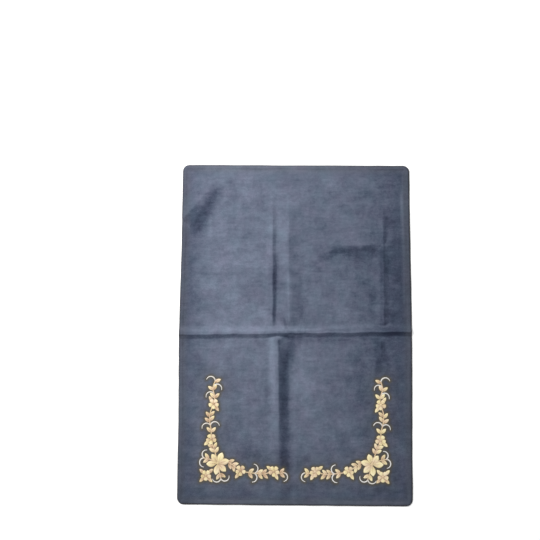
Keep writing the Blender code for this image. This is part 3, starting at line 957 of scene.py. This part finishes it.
# The single leaves that show beside a flower: the stem, how far along it, and the heading.
FLOWER_LEAVES = (
    (RISE, 81, -42), (RISE, 195, 56), (RISE, 195, 234),
    (RUN, 83, -55), (RUN, 192, 35), (RUN, 192, 242),
)
FLOWER_LEAF_REACH = 29.0
print("places on a spray's stems:", sum(len(row[2]) for _, growth in STEMS for row in growth))

# %% Helpers that follow a stem
STEM_STEP = 12.0


def smooth_path(places, step=STEM_STEP):
    """Points about a step apart on a smooth curve through the given places."""
    given = np.array(places, float)
    ends = np.vstack((2 * given[0] - given[1], given, 2 * given[-1] - given[-2]))
    path = [ends[1]]
    for before, start, end, after in zip(ends, ends[1:], ends[2:], ends[3:]):
        steps = max(1, round(math.dist(start, end) / step))
        for t in np.arange(1, steps + 1) / steps:
            bend = start * 2 + (end - before) * t
            bend = bend + (before * 2 - start * 5 + end * 4 - after) * t**2
            bend = bend + (start * 3 - before - end * 3 + after) * t**3
            path.append(bend / 2)
    return np.array(path)


def point_on(places, distance):
    """The place that far along a stem, and the stem's heading there."""
    path = smooth_path(places)
    travelled = measure(path)
    n = min(int(np.searchsorted(travelled, distance)), len(path) - 1)
    ahead_x, ahead_y = path[n] - path[n - 1]
    place = [np.interp(distance, travelled, line) for line in path.T]
    return place, math.atan2(ahead_y, ahead_x)


def on_rug(side, place, heading=0.0):
    """From a spray's own place and heading to the rug's, on the left (-1) or the right (1)."""
    x = side * (SPRAY_OUT + place[0]) + SPRAY_LEAN * place[1]
    y = SPRAY_UP - LENGTH / 2 + place[1] - SPRAY_CLIMB * place[0]
    ahead_x = side * math.cos(heading) + SPRAY_LEAN * math.sin(heading)
    ahead_y = math.sin(heading) - SPRAY_CLIMB * math.cos(heading)
    return x, y, math.atan2(ahead_y, ahead_x)


print("right large flower at:", on_rug(1, (0, 0))[:2])

# %% [markdown]
# Every leaf, petal, knot and tendril is a copy of the one modelled above. Real embroidery
# isn't quite even, so each copy is turned and sized a little differently and has its own
# tone of thread. The random numbers are seeded, so the rug is the same each time.

# %% Plant the copies
TURN_SPREAD = math.radians(2.5)
SIZE_SPREAD = 0.04
TONE_SPREAD = 0.16
SIDE_PAINTED_LIGHT = 0.05  # the right spray is painted paler, as painted light against the lamp's fall-off to the right
TONE_MIDDLE = 0.47
TONE_RANGE = 0.52
PLAIN_TONE = 0.05  # each kind's own tone on top of that
BIG_FLOWER_TONE = 0.20
HEART_TONE = -0.04
BIG_HEADINGS = np.radians(np.linspace(0, 277, 6))  # the quarter at the rug's corner stays free
SMALL_HEADINGS = np.radians(np.linspace(270, 558, 5))
PETAL_ROOT = 2.0
PETAL_OVERLAP = 0.05  # every second petal lies this much higher

chance = random.Random(11)


def plant(pattern, side, place, heading, tone=PLAIN_TONE, lift=0.0):
    """A copy of a pattern with its root at a place of the spray, and its +Y along the heading."""
    x, y, turned = on_rug(side, place, heading)
    turned += chance.uniform(-TURN_SPREAD, TURN_SPREAD)
    size = 1 + chance.uniform(-SIZE_SPREAD, SIZE_SPREAD)
    copied = pattern.copy()
    copied.data = pattern.data.copy()
    bpy.context.scene.collection.objects.link(copied)
    move = Matrix.Translation((x * MM, y * MM, lift * MM))
    turn = Matrix.Rotation(turned - math.pi / 2, 4, "Z")
    copied.data.transform(move @ turn @ Matrix.Diagonal((size, size, 1, 1)))
    # The right spray gets painted light.
    own_tone = tone + side * SIDE_PAINTED_LIGHT + chance.uniform(-TONE_SPREAD, TONE_SPREAD)
    values = np.empty(len(copied.data.vertices), np.float32)
    copied.data.attributes["tone"].data.foreach_get("value", values)
    write_values(copied, "tone", TONE_MIDDLE + TONE_RANGE * (values - 0.5) + own_tone)
    return copied


def beside(middle, heading, distance):
    """The place at that distance from a middle."""
    return middle[0] + distance * math.cos(heading), middle[1] + distance * math.sin(heading)


def plant_flower(side, middle, petal, headings, tone=PLAIN_TONE):
    """Petals round a middle, with a knot on their roots."""
    made = []
    for n, heading in enumerate(headings):
        root = beside(middle, heading, PETAL_ROOT)
        made.append(plant(petal, side, root, heading, tone, PETAL_OVERLAP * (n % 2)))
    made.append(plant(heart, side, middle, 0.0, HEART_TONE))
    return made


def plant_flower_leaf(side, middle, heading):
    """A leaf that shows beside a flower, with its root under the petals."""
    root = beside(middle, heading, FLOWER_LEAF_REACH - LEAF.length)
    return plant(leaf, side, root, heading)


print("petals:", len(BIG_HEADINGS), "in a large flower,", len(SMALL_HEADINGS), "in a small one")

# %% Stitch the stems and gather each spray
STEM_WIDTH = 3.6
STEM_HEIGHT = 0.7
STEM_PITCH = 1.0
STEM_SLANT = 0.8
FINE_STEP = 2.0
LEAF_LEAN = math.radians(44)


def grow_stem(side, places, growth):
    """One stem with its leaves, tendrils and flowers."""
    fine = smooth_path(places, FINE_STEP)
    path = np.array([on_rug(side, place)[:2] for place in fine])
    made = [stitched_band("stem", path, STEM_WIDTH, 0.0, STEM_HEIGHT, STEM_PITCH, STEM_SLANT)]
    made[0].data.materials.append(gold_thread)
    for kind, letters, distances in growth:
        for distance in distances:
            place, heading = point_on(places, distance)
            if kind == "flower":
                made += plant_flower(side, place, small_petal, SMALL_HEADINGS)
            for letter in letters:
                turn = 1 if letter == "L" else -1
                if kind == "leaf":
                    made.append(plant(leaf, side, place, heading + turn * LEAF_LEAN))
                else:
                    made.append(plant(curls[turn * side], side, place, heading))
    return made


def join_all(parts, name):
    """One piece from many, laid on the cloth's swells."""
    work_on(parts[0])
    for part in parts:
        part.select_set(True)
    bpy.ops.object.join()
    piece = bpy.context.object
    piece.name = piece.data.name = name
    points = points_of(piece)
    points[:, 2] += handling_lift(points[:, 0], points[:, 1])
    move_points(piece, points)
    bpy.ops.object.shade_smooth_by_angle(angle=SMOOTH_ANGLE)
    print(name + ":", len(parts), "parts,", triangles(piece), "triangles")
    return piece


def stitch_spray(side, word):
    """A whole spray: its stems, the leaves beside its flowers, and its large flower."""
    made = []
    for places, growth in STEMS:
        made += grow_stem(side, places, growth)
    for stem, distance, degrees in FLOWER_LEAVES:
        middle, _ = point_on(stem, distance)
        made.append(plant_flower_leaf(side, middle, math.radians(degrees)))
    made += plant_flower(side, (0, 0), big_petal, BIG_HEADINGS, BIG_FLOWER_TONE)
    return join_all(made, "stitched_spray_" + word)


def stitch_corner_flower(side, word):
    made = [
        plant_flower_leaf(side, CORNER_FLOWER, math.pi / 4 + math.pi / 2 * quarter)
        for quarter in range(4)
    ]
    made += plant_flower(side, CORNER_FLOWER, small_petal, SMALL_HEADINGS)
    return join_all(made, "stitched_corner_flower_" + word)


# %% [markdown]
# ## The gold thread
#
# The thread is glossy, and goes from peach to pale gold from element to element, with paler
# tips. The tendrils are cream. Each point keeps its tone as a number. The thread tops are
# painted lighter and the valleys between threads painted darker, as light and shade, and the
# UV map that counts threads lays fine fibres along each one.

# %% Mix both threads
PEACH_COLOURS = (
    (0.0, (0.33, 0.20, 0.11)), (0.3, (0.61, 0.44, 0.28)),
    (0.6, (0.77, 0.62, 0.44)), (1.0, (0.89, 0.81, 0.67)),
)
YELLOW_COLOURS = (
    (0.0, (0.28, 0.19, 0.07)), (0.3, (0.56, 0.45, 0.21)),
    (0.6, (0.78, 0.66, 0.35)), (1.0, (0.93, 0.85, 0.57)),
)
CREAM_COLOURS = (
    (0.0, (0.50, 0.42, 0.33)), (0.35, (0.67, 0.64, 0.60)),
    (1.0, (0.84, 0.84, 0.84)),
)
REEL_CONTRAST = 2.2  # how clearly the reels part, by place and by tone
TONE_TO_REEL = 2.6
DYE_SHARE = 0.35
# Thread tops painted lighter and the valleys between them painted darker, as light and shade.
RIDGE_PAINTED_SHADE = 0.40
FIBRE_HEIGHT = 0.06


def mix_thread(name, colours, other_colours):
    """A glossy embroidery thread between two ranges of tones."""
    made, tree, shader = new_finish(name)
    threads = tree.nodes.new("ShaderNodeUVMap").outputs["UV"]
    place = tree.nodes.new("ShaderNodeTexCoord").outputs["Object"]
    tone = attribute_node(tree, "tone")
    dye = noise_node(tree, threads, (700, 4000, 1), 2)
    fibres = noise_node(tree, threads, (120, 2500, 1), 2)
    reel = noise_node(tree, place, (26, 26, 26), 1)
    reel = add_share(tree, reel, reel, REEL_CONTRAST)
    reel = add_share(tree, reel, tone, TONE_TO_REEL)
    value = add_share(tree, tone, dye, DYE_SHARE)
    value = add_share(tree, value, attribute_node(tree, "ridge"), RIDGE_PAINTED_SHADE)
    ramps = [ramp_node(tree, value, stops) for stops in (colours, other_colours)]
    tree.links.new(mix_colours(tree, reel, *ramps), shader.inputs["Base Color"])
    add_bump(tree, shader, fibres, FIBRE_HEIGHT)
    set_inputs(shader, {"Roughness": 0.38, "Specular IOR Level": 0.55, "Sheen Weight": 0.1})
    return made


gold_thread = mix_thread("gold thread", PEACH_COLOURS, YELLOW_COLOURS)
cream_thread = mix_thread("cream thread", CREAM_COLOURS, CREAM_COLOURS)
for pattern in (leaf, big_petal, small_petal, heart):
    pattern.data.materials.append(gold_thread)
for pattern in curls.values():
    pattern.data.materials.append(cream_thread)
print("thread finishes:", gold_thread.name, "and", cream_thread.name)

# %% Stitch both corners
embroidery = {}
for side, word in ((-1, "left"), (1, "right")):
    embroidery["spray_" + word] = stitch_spray(side, word)
    embroidery["corner_flower_" + word] = stitch_corner_flower(side, word)
for pattern in (leaf, big_petal, small_petal, heart, *curls.values()):
    bpy.data.objects.remove(pattern)

# %% [markdown]
# ## Painted shade and light round the stitches
#
# Every leaf and petal stands in a narrow border of painted shade, as cast by the raised
# stitches, with a little brown painted reflection of the gold in it, and a fainter painted
# glow farther out.
# A second outline for every shape would do it too, but a search tree over the embroidery's
# own points gives the distance without one.

# %% Paint shade and the gold's reflected light into the pile beside the stitches
STITCH_SHADOW_DEPTH = 0.18
STITCH_SHADOW_REACH = 9.5
GOLD_LIGHT = 0.75
GLOW_REACH = 45.0
GLOW_LIGHT = 0.15
RIM_SHADOW_TINT = 0.45  # painted shadow colour, mixed in at the rim
STRIP_SHADOW_TINT = 0.16  # and a little of the same colour over the seam allowance
STRIP_REACH = 26.0
TOP_FROM = THICKNESS - 0.5
SEARCH_EVERY = 5  # every fifth point of the stitches is near enough to the others

stitch_points = np.vstack([points_of(piece)[::SEARCH_EVERY, :2] for piece in embroidery.values()])
search = kdtree.KDTree(len(stitch_points))
for index, (x, y) in enumerate(stitch_points):
    search.insert((x, y, 0), index)
search.balance()
close = (finished[:, 2] > TOP_FROM) & (finished_y < stitch_points[:, 1].max() + GLOW_REACH)
away = np.full(len(finished), GLOW_REACH)
for index in np.flatnonzero(close):
    away[index] = search.find((finished_x[index], finished_y[index], 0))[2]
stitch_shadow = np.maximum(0, 1 - away / STITCH_SHADOW_REACH)
glow = np.maximum(0, 1 - away / GLOW_REACH)
# Painted shade in the pile beside the stitches.
write_values(cloth, "painted_light_and_nap", np.clip(painted_light_and_nap - STITCH_SHADOW_DEPTH * stitch_shadow, 0, 1))
# Painted reflected light of the gold, as a share of the shadow colour mixed in.
gold_light = GOLD_LIGHT * stitch_shadow + GLOW_LIGHT * glow
# The painted shadow colour at the rim, and a little of it over the seam allowance.
rim_shadow_tint = RIM_SHADOW_TINT * np.maximum(0, 1 - inside / RIM_REACH)
strip_shadow_tint = STRIP_SHADOW_TINT * np.exp(-((inside / STRIP_REACH) ** 4))
write_values(cloth, "painted_shadow_tint", np.maximum.reduce((gold_light, rim_shadow_tint, strip_shadow_tint)))
# Count the points in the painted shade beside the stitches.
print("points pressed down:", int((stitch_shadow > 0).sum()))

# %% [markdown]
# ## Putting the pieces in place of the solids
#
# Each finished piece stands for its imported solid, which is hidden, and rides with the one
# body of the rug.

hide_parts("rug")
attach(cloth, "root")
for node, piece in embroidery.items():
    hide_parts(node)
    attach(piece, "root")
print("pieces:", cloth.name, *(piece.name for piece in embroidery.values()))

# %% [markdown]
# ## Floor and light
#
# The floor is plain, and bright enough to come out white all round the rug. One large soft
# light stands above the rug's upper left, near enough to fall off towards the lower right,
# and low enough to rake across the creases. An even light from all sides fills the shadows.

# %% Build the studio
FLOOR_SIZE = 12.0
KEY_PLACE = Vector((-1.15, 1.0, 1.35))
KEY_SIZE = 0.9
KEY_POWER = 40.0
KEY_COLOUR = (1.0, 0.985, 0.96)
FILL = 0.7
FILL_COLOUR = (0.97, 0.985, 1.0, 1.0)

work_on()
bpy.ops.mesh.primitive_plane_add(size=FLOOR_SIZE, location=(0, 0, -0.0002))
floor = bpy.context.object
floor.name = "studio_floor"
paper, tree, shader = new_finish("pale floor")
grain = noise_node(tree, tree.nodes.new("ShaderNodeTexCoord").outputs["Object"], (60, 60, 60))
pale = ramp_node(tree, grain, ((0.0, (0.90, 0.90, 0.90)), (1.0, (0.94, 0.94, 0.935))))
tree.links.new(pale, shader.inputs["Base Color"])
set_inputs(shader, {"Roughness": 0.9, "Emission Color": (1, 1, 1, 1), "Emission Strength": 0.2})
floor.data.materials.append(paper)

bpy.ops.object.light_add(type="AREA", location=KEY_PLACE)
key = bpy.context.object
key.rotation_euler = (-KEY_PLACE).to_track_quat("-Z", "Y").to_euler()
key.data.shape = "DISK"
key.data.size = KEY_SIZE
key.data.energy = KEY_POWER
key.data.color = KEY_COLOUR

world = bpy.data.worlds.new("studio")
bpy.context.scene.world = world
world.use_nodes = True
sky = world.node_tree.nodes["Background"]
set_inputs(sky, {"Color": FILL_COLOUR, "Strength": FILL})
bpy.context.scene.view_settings.view_transform = "Standard"
print("key light:", KEY_POWER, "W, fill:", FILL)
